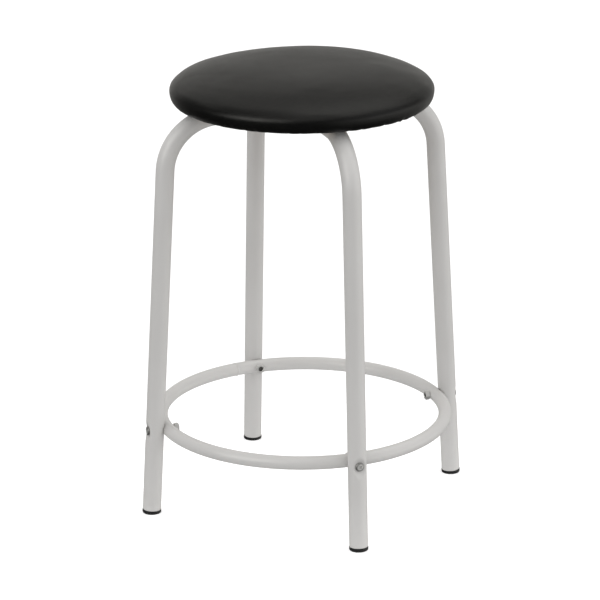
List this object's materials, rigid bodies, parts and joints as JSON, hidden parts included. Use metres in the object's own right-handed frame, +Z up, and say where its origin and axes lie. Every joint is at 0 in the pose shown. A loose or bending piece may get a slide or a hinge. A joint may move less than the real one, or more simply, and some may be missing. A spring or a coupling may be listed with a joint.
{
  "type": "stool",
  "caption": "Backless round stool with a padded disc seat on splayed bent tube legs, tied by a tubular footring bolted inside the legs.",
  "frame": {"origin": "on the floor, on the seat's axis, midway between the four feet", "axes": "+Z up; one leg stands on each of -Y (front), +X (right), +Y (back) and -X (left)"},
  "size_m": [0.4126, 0.4126, 0.541],
  "materials": {
    "powder_coat": "satin",
    "black_plastic": "satin",
    "zinc": "satin",
    "board": "matte",
    "foam": "matte",
    "vinyl": "satin"
  },
  "bodies": {
    "root": {"leg_frame_left_right": "powder_coat", "leg_frame_front_back": "powder_coat", "footring": "powder_coat", "foot_plug_front": "black_plastic", "foot_plug_right": "black_plastic", "foot_plug_back": "black_plastic", "foot_plug_left": "black_plastic", "ring_bolts": "zinc", "ring_nuts": "zinc", "seat_board": "board", "seat_tee_nuts": "zinc", "seat_screws": "zinc", "seat_foam": "foam", "seat_cover": "vinyl", "cover_staples": "zinc"}
  },
  "joints": []
}
